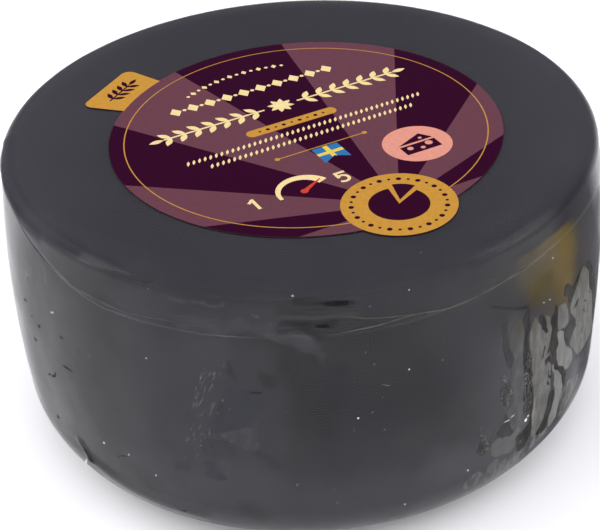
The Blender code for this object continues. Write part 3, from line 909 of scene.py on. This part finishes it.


# Small bubbles of air are caught under the film, and grit has pitted the wax.
# The larger ones have places of their own, and finer ones lie scattered between.
# The bright specks among them are painted glints.

GLINTS = (                # azimuth, millimetres up, length and width in millimetres, and slope in degrees
    (-2.4, 86.0, 0.5, 0.4, 0), (16.7, 60.9, 0.5, 0.5, 0), (7.5, 48.8, 0.6, 0.5, 0), (42.3, 27.4, 1.2, 1.1, 40),
    (42.9, 28.3, 0.9, 0.6, 10), (-53.0, 63.2, 1.5, 0.5, 12), (-52.4, 63.7, 0.6, 0.4, 0), (-29.2, 63.6, 0.6, 0.4, 10),
    (15.7, 16.0, 0.6, 0.4, 0), (-30.4, 24.1, 0.8, 0.4, 60), (17.3, 83.8, 0.4, 0.4, 0), (-42.2, 27.8, 0.7, 0.5, 0),
    (-36.0, 28.1, 0.7, 0.4, 60), (37.0, 31.6, 2.2, 0.25, -6), (38.4, 32.1, 1.6, 0.2, 12), (-50.6, 13.4, 4.6, 0.7, 70),
    (28.4, 20.8, 0.6, 0.5, -60), (49.6, 73.8, 0.6, 0.3, -30), (46.4, 62.7, 0.6, 0.3, -20), (48.3, 62.1, 0.6, 0.3, -20),
)
BUBBLES = (
    (-9.3, 81.2, 0.6, 0.4, 30), (-8.6, 80.6, 1.2, 0.3, -20), (9.2, 68.4, 0.6, 0.5, 0), (10.6, 64.5, 0.8, 0.4, 20),
    (11.8, 54.0, 0.7, 0.4, 40), (10.0, 50.0, 0.6, 0.4, 60), (12.0, 43.7, 0.5, 0.5, 0), (6.7, 45.0, 0.6, 0.4, 60),
    (-3.6, 28.0, 0.7, 0.5, 60), (2.8, 25.5, 0.6, 0.5, -30), (3.3, 20.5, 0.6, 0.4, 0), (16.0, 19.7, 0.6, 0.5, 60),
    (24.2, 82.5, 0.5, 0.4, 0), (12.7, 57.5, 1.6, 0.2, -12), (12.1, 58.0, 0.8, 0.2, 10), (50.0, 75.0, 0.8, 0.3, 30),
    (36.8, 79.5, 0.5, 0.4, 0), (33.7, 78.5, 0.5, 0.4, 0), (41.2, 20.5, 1.6, 0.25, 5), (39.6, 20.1, 1.2, 0.2, -4),
    (-62.4, 66.4, 2.2, 0.4, 74), (-61.6, 68.8, 2.2, 0.4, 58), (-42.3, 57.0, 0.8, 0.3, 20), (-38.6, 57.0, 0.8, 0.3, 20),
    (-35.4, 57.0, 0.6, 0.3, 0), (-43.4, 28.6, 1.2, 0.5, -30), (-16.6, 63.2, 1.8, 0.25, 70), (-19.0, 61.2, 1.6, 0.3, 64),
    (-17.4, 62.6, 2.0, 0.25, 70), (-20.0, 55.0, 1.2, 0.25, 70), (-16.4, 50.7, 0.5, 0.4, 0), (-15.4, 55.0, 0.8, 0.3, 50),
    (-14.3, 52.5, 0.7, 0.3, 20), (-14.5, 42.0, 0.8, 0.3, 30), (-13.2, 37.0, 0.8, 0.3, 60), (-20.2, 39.2, 1.2, 0.3, 40),
    (-21.2, 35.4, 0.7, 0.4, 60), (-23.6, 33.8, 0.9, 0.3, 30), (48.6, 39.8, 0.9, 0.3, 70), (45.4, 34.4, 0.8, 0.2, -40),
)
# Dark pits in the wax. The two at -48.8 and -47.4 degrees are instead painted shade in the pinched fold.
PITS_AND_FOLD_SHADE = (
    (-59.0, 54.0, 1.5, 1.0, 20), (-50.5, 57.0, 1.8, 0.6, 10), (-45.7, 56.0, 0.9, 0.6, 60), (-49.8, 47.5, 4.6, 0.7, 3),
    (-57.6, 39.0, 2.4, 0.6, 30), (-56.0, 39.8, 2.6, 0.8, 24), (-55.0, 41.4, 1.8, 0.5, 80), (-62.0, 47.0, 2.2, 0.8, -6),
    (-62.2, 54.6, 1.6, 0.5, 30), (-64.8, 57.6, 2.6, 0.6, 14), (-38.6, 25.6, 2.2, 0.4, 50), (-37.2, 26.8, 2.2, 0.4, 14),
    (-58.0, 23.6, 1.2, 1.4, 60), (-37.0, 61.2, 0.6, 0.5, 60), (-48.8, 19.6, 2.2, 0.8, -50), (-47.4, 17.9, 1.4, 0.8, -40),
    (-25.6, 13.2, 2.2, 0.4, 12), (-9.6, 58.0, 3.6, 0.7, 4), (-13.6, 81.0, 0.7, 0.5, 60),
)
MARK_PROUD = 0.09 * MM
DUST_INSET = 0.13 * MM    # just under the film
DUST_SPREAD = 2400.0      # pieces of dust to the square metre
DUST_SIZES = (0.08 * MM, 0.20 * MM)
DUST_FLAT = 0.35
SCATTER_SEED = 7
SCUFF_START = (-17.0, 64.0)
SCUFF_END = (-21.0, 40.0)
SCUFF_WIDTH = 2.0
SCUFF_COUNT = 44


def marks_tree(material):
    """Puts a small flattened bead on each of the object's points, sized and turned as the point says."""
    tree = bpy.data.node_groups.new("set_marks", "GeometryNodeTree")
    tree.interface.new_socket("Points", in_out="INPUT", socket_type="NodeSocketGeometry")
    tree.interface.new_socket("Marks", in_out="OUTPUT", socket_type="NodeSocketGeometry")
    start = tree.nodes.new("NodeGroupInput")
    points = Wire(tree, start.outputs[0])
    size = points.add("GeometryNodeInputNamedAttribute", {"Name": "size"}, data_type="FLOAT_VECTOR")
    turn = points.add("GeometryNodeInputNamedAttribute", {"Name": "turn"}, data_type="FLOAT_VECTOR")
    ball = points.add("GeometryNodeMeshIcoSphere", {"Radius": 1.0, "Subdivisions": 2})
    sockets = {"Points": points, "Instance": ball, "Rotation": turn, "Scale": size}
    marks = points.add("GeometryNodeInstanceOnPoints", sockets)
    marks = marks.add("GeometryNodeRealizeInstances", {"Geometry": marks})
    marks = marks.add("GeometryNodeSetShadeSmooth", {"Geometry": marks})
    marks = marks.add("GeometryNodeSetMaterial", {"Geometry": marks, "Material": material})
    end = tree.nodes.new("NodeGroupOutput")
    tree.links.new(marks.socket, end.inputs["Marks"])
    return tree


def dust_tree(material):
    """Scatters fine flat beads over the object's faces, lying along them."""
    tree = bpy.data.node_groups.new("scatter_dust", "GeometryNodeTree")
    tree.interface.new_socket("Skin", in_out="INPUT", socket_type="NodeSocketGeometry")
    tree.interface.new_socket("Spread", in_out="INPUT", socket_type="NodeSocketFloat")
    tree.interface.new_socket("Seed", in_out="INPUT", socket_type="NodeSocketInt")
    tree.interface.new_socket("Smallest", in_out="INPUT", socket_type="NodeSocketFloat")
    tree.interface.new_socket("Largest", in_out="INPUT", socket_type="NodeSocketFloat")
    tree.interface.new_socket("Dust", in_out="OUTPUT", socket_type="NodeSocketGeometry")
    start = tree.nodes.new("NodeGroupInput")
    skin, spread, seed, smallest, largest = (Wire(tree, socket) for socket in start.outputs[:5])
    scatter = skin.add("GeometryNodeDistributePointsOnFaces", {"Mesh": skin, "Density": spread, "Seed": seed})
    lie = Wire(tree, scatter.socket.node.outputs["Rotation"])
    size = skin.add("FunctionNodeRandomValue", {2: smallest, 3: largest, "Seed": seed}, output=1)
    shape = size.join(size * 1.4, size, size * DUST_FLAT)
    ball = skin.add("GeometryNodeMeshIcoSphere", {"Radius": 1.0, "Subdivisions": 1})
    sockets = {"Points": scatter, "Instance": ball, "Rotation": lie, "Scale": shape}
    dust = skin.add("GeometryNodeInstanceOnPoints", sockets)
    dust = dust.add("GeometryNodeRealizeInstances", {"Geometry": dust})
    dust = dust.add("GeometryNodeSetShadeSmooth", {"Geometry": dust})
    dust = dust.add("GeometryNodeSetMaterial", {"Geometry": dust, "Material": material})
    end = tree.nodes.new("NodeGroupOutput")
    tree.links.new(dust.socket, end.inputs["Dust"])
    return tree


def mark_points(name, marks):
    """The marks as bare points on the side, which carry their size and turn."""
    table = np.array(marks, float)
    mesh = bpy.data.meshes.new(name)
    mesh.from_pydata(on_side(table[:, 0], table[:, 1], 0.0).tolist(), [], [])
    sizes = np.column_stack((table[:, 2] / 2 * MM, table[:, 3] / 2 * MM, np.full(len(table), MARK_PROUD)))
    turns = []
    for azimuth, _, _, _, slope in marks:
        around = math.radians(azimuth)
        axes = Matrix(((math.cos(around), 0, math.sin(around)), (math.sin(around), 0, -math.cos(around)), (0, 1, 0)))
        turns.append(tuple((axes @ Matrix.Rotation(math.radians(slope), 3, "Z")).to_euler()))
    for attribute, values in (("size", sizes), ("turn", np.array(turns))):
        mesh.attributes.new(attribute, "FLOAT_VECTOR", "POINT").data.foreach_set("vector", values.ravel())
    piece = bpy.data.objects.new(name, mesh)
    bpy.context.collection.objects.link(piece)
    return piece


def speck_material(name, first, second, roughness):
    material, shader, place = start_material(name)
    uneven = place.noise(900.0, 2.0).step(0.35, 0.65)
    plug(material.node_tree, [
        (shader.inputs["Base Color"], uneven.tint(first, second)),
        (shader.inputs["Roughness"], uneven * 0.15 + roughness),
        (shader.inputs["Specular IOR Level"], 0.3),
    ])
    return material


pick = random.Random(SCATTER_SEED)
scuffs = []
for number in range(SCUFF_COUNT):
    share = pick.random()
    azimuth = SCUFF_START[0] + (SCUFF_END[0] - SCUFF_START[0]) * share + pick.uniform(-1, 1) * SCUFF_WIDTH
    up = SCUFF_START[1] + (SCUFF_END[1] - SCUFF_START[1]) * share
    scuffs.append((azimuth, up, pick.uniform(0.8, 3.4), pick.uniform(0.10, 0.20), pick.uniform(60, 78)))

# The bright specks are painted glints of light on bubbles and on the fold's lip.
glint = speck_material("painted_glint", (0.40, 0.40, 0.42), (0.80, 0.80, 0.81), 0.25)
air = speck_material("trapped_air", (0.055, 0.055, 0.060), (0.150, 0.150, 0.158), 0.30)
# near-black for the pits, and for the painted shade in the pinched fold
grit_and_fold_shade = speck_material("wax_pit_and_fold_shade", (0.003, 0.003, 0.003), (0.008, 0.008, 0.009), 0.55)
scratch = speck_material("scuffed_film", (0.045, 0.045, 0.052), (0.105, 0.105, 0.115), 0.35)
kinds = (("bubble_glints", GLINTS, glint), ("air_bubbles", BUBBLES, air), ("wax_pits_and_fold_shade", PITS_AND_FOLD_SHADE, grit_and_fold_shade),
         ("scuffs", scuffs, scratch))
for name, marks, material in kinds:
    finish_piece(run_tree(mark_points(name, marks), marks_tree(material), {}), "wax_under_film", "wrapped_wheel")

speck_paint = speck_material("dust", (0.060, 0.060, 0.064), (0.200, 0.200, 0.205), 0.5)
bare = make_skin("dust", speck_paint, DUST_INSET)
values = {"Spread": DUST_SPREAD, "Seed": SCATTER_SEED, "Smallest": DUST_SIZES[0], "Largest": DUST_SIZES[1]}
finish_piece(run_tree(bare, dust_tree(speck_paint), values), "wax_under_film", "wrapped_wheel")


# The label is a disc of coated paper stuck on the film. It is die-cut in one
# piece with a tab at its upper left and a round badge at its foot, and its
# plain figures are printed in flat inks. Its drawing is in millimetres.

LABEL_CENTRE = Vector((2.2, -6.1)) * MM
LABEL_TURN = math.radians(26.6)
LABEL_RADIUS = 54.4
TAB_RADIUS = 66.8
TAB_START = 113.8
TAB_END = 134.8
TAB_CORNER = 2.6
BADGE_CENTRE = (1.9, -47.1)
BADGE_RADIUS = 15.2
LABEL_SHEET = 0.25 * MM
LABEL_LIFT = 0.20 * MM

MAUVE = (0.098, 0.035, 0.049)
PLUM = (0.0215, 0.0010, 0.0123)
GOLD = (0.395, 0.197, 0.031)
CREAM = (0.62, 0.49, 0.235)
PINK = (0.53, 0.218, 0.164)
BLUE = (0.022, 0.120, 0.290)
YELLOW = (0.56, 0.42, 0.06)
RED = (0.42, 0.040, 0.022)
CUT_EDGE = (0.050, 0.020, 0.030)
INKS = {"mauve": MAUVE, "plum": PLUM, "gold": GOLD, "cream": CREAM, "pink": PINK,
        "blue": BLUE, "yellow": YELLOW, "red": RED, "cut_edge": CUT_EDGE}

fields = []               # each is an outline, anticlockwise, and the name of its ink


def field(ink, points):
    fields.append((ink, [Vector(point) for point in points]))
    return len(fields) - 1


def arc(centre, radius, start, end, steps):
    """Points along a circle from one angle to another, both in degrees."""
    turns = [math.radians(start + (end - start) * step / steps) for step in range(steps + 1)]
    return [(centre[0] + radius * math.cos(turn), centre[1] + radius * math.sin(turn)) for turn in turns]


def disc(ink, centre, radius, sides=18):
    return field(ink, arc(centre, radius, 0, 360, sides)[:-1])


def band(ink, path, widths):
    """A stroke along a path, as one four-sided field for each step."""
    path = [Vector(point) for point in path]
    if not isinstance(widths, (list, tuple)):
        widths = [widths] * len(path)
    edges = []
    for index, point in enumerate(path):
        ahead = path[min(index + 1, len(path) - 1)] - path[max(index - 1, 0)]
        aside = Vector((-ahead.y, ahead.x)).normalized() * widths[index] / 2
        edges.append((point + aside, point - aside))
    for (left, right), (next_left, next_right) in zip(edges, edges[1:]):
        field(ink, (left, right, next_right, next_left))


def leaf(ink, foot, length, width, angle):
    """A pointed oval that grows from its foot."""
    along = Vector((math.cos(math.radians(angle)), math.sin(math.radians(angle))))
    aside = Vector((-along.y, along.x))
    steps = 6
    right = [(step / steps, -math.sin(math.pi * step / steps) / 2) for step in range(steps)]
    left = [(1 - step / steps, math.sin(math.pi * step / steps) / 2) for step in range(steps)]
    field(ink, [Vector(foot) + along * length * share + aside * width * out for share, out in right + left])


def lozenge(ink, centre, width, height, angle=0.0):
    turn = Matrix.Rotation(math.radians(angle), 2)
    corners = ((width / 2, 0), (0, height / 2), (-width / 2, 0), (0, -height / 2))
    field(ink, [Vector(centre) + turn @ Vector(corner) for corner in corners])


def sprig(ink, start, end, pairs, leaf_length, leaf_width, stem):
    """A stem with leaves in pairs and one leaf at its tip."""
    start, end = Vector(start), Vector(end)
    heading = math.degrees(math.atan2(end.y - start.y, end.x - start.x))
    band(ink, (start, end), stem)
    for pair in range(pairs):
        foot = start.lerp(end, (pair + 0.5) / pairs)
        for side in (-1, 1):
            leaf(ink, foot, leaf_length, leaf_width, heading + side * 52)
    leaf(ink, end, leaf_length, leaf_width, heading)


# sheet: the disc, then its rays, which open from the badge
cut_out = [disc("mauve", (0, 0), LABEL_RADIUS, 120)]
RAYS = 9
RAY_REACH = 112.0
for ray in range(0, RAYS, 2):
    start = 180.0 * ray / RAYS
    end = 180.0 * (ray + 1) / RAYS
    field("plum", [BADGE_CENTRE] + arc(BADGE_CENTRE, RAY_REACH, start, end, 4))
band("gold", arc((0, 0), 50.2, 0, 360, 120), 0.32)

# upper arch of small lozenges and dots
ARCH_RADIUS = 40.5
for place in range(15):
    turn = 118.0 - 3.3 * place
    (spot,) = arc((0, 0), ARCH_RADIUS, turn, turn, 1)[:1]
    if place % 2:
        lozenge("cream", spot, 1.7, 2.3, turn - 90)
    else:
        disc("cream", spot, 0.55, 10)

# row of lozenges with dots between
for place in range(10):
    centre = -26.0 + 5.4 * place
    lozenge("cream", (centre, 29.2), 3.6, 4.8)
    if place < 9:
        disc("cream", (centre + 2.7, 29.2), 0.62, 12)

# garland in two halves that meet at a round flower
GARLAND_HEIGHT = 16.6
for side in (-1, 1):
    sprig("cream", (side * 5.2 + 1, GARLAND_HEIGHT), (side * 36.5 + 1, GARLAND_HEIGHT), 7, 4.5, 1.9, 0.7)
for petal in range(8):
    leaf("cream", (1, GARLAND_HEIGHT), 3.9, 1.7, petal * 45 + 22.5)

# pill with dots, two roped lines, and a thin rule with a knob at each end
band("gold", ((-13.2, 6.2), (11.2, 6.2)), 3.7)
for end, start in ((-13.2, 90), (11.2, -90)):
    field("gold", arc((end, 6.2), 1.85, start, start + 180, 14))
for place in range(9):
    disc("plum", (-11.0 + 2.5 * place, 6.2), 0.62 if place % 2 else 0.40, 12)
for row, (start, count) in enumerate(((-36.0, 44), (-31.0, 38))):
    for strand in range(count):
        leaf("cream", (start + 1.68 * strand, -0.2 - 4.5 * row), 2.6, 0.78, 62)
band("gold", ((-14.0, -10.0), (13.0, -10.0)), 0.36)
for end in (-14.0, 13.0):
    disc("gold", (end, -10.0), 0.75, 14)

# pennant with a cross and a notched foot, hung from the rule
field("blue", ((-3.9, -10.6), (-3.9, -18.8), (0.0, -16.4), (3.9, -18.8), (3.9, -10.6)))
field("yellow", ((-3.9, -14.9), (3.9, -14.9), (3.9, -13.5), (-3.9, -13.5)))
field("yellow", ((-0.7, -16.83), (0.0, -16.4), (0.7, -16.83), (0.7, -10.6), (-0.7, -10.6)))

# dial: a scale that swells from one end to the other, a needle, and two numbers
DIAL_CENTRE = (-15.6, -28.4)
swell = arc(DIAL_CENTRE, 7.0, 186, 18, 24)
band("cream", swell, [1.0 + 1.9 * step / 24 for step in range(25)])
band("red", (DIAL_CENTRE, (DIAL_CENTRE[0] + 6.6, DIAL_CENTRE[1] + 3.6)), (1.5, 0.35))
disc("red", DIAL_CENTRE, 1.1, 16)
band("cream", ((-30.9, -26.3), (-29.4, -25.0)), 0.9)
band("cream", ((-29.4, -24.6), (-29.4, -30.0)), 0.95)
band("cream", ((-2.0, -25.1), (-5.2, -25.1)), 0.9)
band("cream", ((-4.8, -25.0), (-4.8, -27.6)), 0.9)
band("cream", arc((-3.9, -28.2), 1.6, 125, -140, 12), 0.9)

# pink disc with a wedge of cheese, and its two rows of eyes
PINK_CENTRE = Vector((22.0, -23.1))
disc("pink", PINK_CENTRE, 9.6, 60)
field("plum", [PINK_CENTRE + Vector(spot) for spot in ((-5.4, -4.2), (5.4, -4.2), (5.4, 0.2), (-5.4, 0.2))])
field("plum", [PINK_CENTRE + Vector(spot) for spot in ((-5.4, 1.0), (5.4, 1.0), (3.0, 4.6))])
for spot, radius in (((-3.0, -1.4), 0.9), ((0.3, -2.6), 0.7), ((2.9, -1.2), 1.1), ((2.2, 2.3), 0.55)):
    disc("pink", PINK_CENTRE + Vector(spot), radius, 14)

# tab, with a sprig along it
shoulder = math.degrees(TAB_CORNER / (TAB_RADIUS - TAB_CORNER))
tab = arc((0, 0), LABEL_RADIUS - 0.4, TAB_END, TAB_START, 10)
for corner, start, end in ((TAB_START + shoulder, TAB_START - 90, TAB_START), (TAB_END - shoulder, TAB_END, TAB_END + 90)):
    (hub,) = arc((0, 0), TAB_RADIUS - TAB_CORNER, corner, corner, 1)[:1]
    tab += arc(hub, TAB_CORNER, start, end, 6)
cut_out.append(field("gold", tab))
ends = [arc((0, 0), 60.4, turn, turn, 1)[0] for turn in (TAB_END - 4.5, TAB_START + 6.5)]
sprig("plum", *ends, 4, 3.9, 1.5, 0.55)

# badge, with a ring of dots round a cut wheel whose slice stands out
cut_out.append(disc("gold", BADGE_CENTRE, BADGE_RADIUS, 72))
for dot in range(30):
    disc("plum", arc(BADGE_CENTRE, 12.4, dot * 12, dot * 12, 1)[0], 0.75 if dot % 2 else 0.45, 10)
field("plum", [BADGE_CENTRE] + arc(BADGE_CENTRE, 8.0, 80, 385, 40))
(slice_tip,) = arc(BADGE_CENTRE, 1.9, 52.5, 52.5, 1)[:1]
field("plum", [slice_tip] + arc(slice_tip, 8.0, 30, 75, 8))


def coated_ink(name, colour):
    """Flat ink on coated paper, a touch uneven, with the paper's fine tooth under it."""
    material, shader, place = start_material("ink_" + name)
    uneven = place.noise(700.0, 3.0).step(0.3, 0.7)
    plug(material.node_tree, [
        (shader.inputs["Base Color"], uneven.tint([part * 0.94 for part in colour], [part * 1.04 for part in colour])),
        (shader.inputs["Roughness"], uneven * 0.08 + 0.50),
        (shader.inputs["Specular IOR Level"], 0.01),
        (shader.inputs["Normal"], place.noise(1800.0, 2.0).bump(0.02 * MM, 0.3)),
    ])
    return material


spots, triangles, owners = cut_sheet(fields)
label_mesh = bpy.data.meshes.new("printed_label")
turn = Matrix.Rotation(LABEL_TURN, 2)
top = WHEEL_HEIGHT + LABEL_LIFT
kept = [number for number, owner in enumerate(owners) if set(owner) & set(cut_out)]
flat = [LABEL_CENTRE + turn @ Vector(spot) * MM for spot in spots]
label_mesh.from_pydata([(*spot, top) for spot in flat], [], [triangles[number] for number in kept])
names = list(INKS)
for name, colour in INKS.items():
    label_mesh.materials.append(coated_ink(name, colour))
for polygon, number in zip(label_mesh.polygons, kept):
    polygon.material_index = names.index(fields[max(owners[number])][0])
sheet = bpy.data.objects.new("printed_label", label_mesh)
bpy.context.collection.objects.link(sheet)
clear_loose_points(label_mesh)
thickened(sheet, LABEL_SHEET, len(INKS))
finish_piece(sheet, "printed_label", "label")
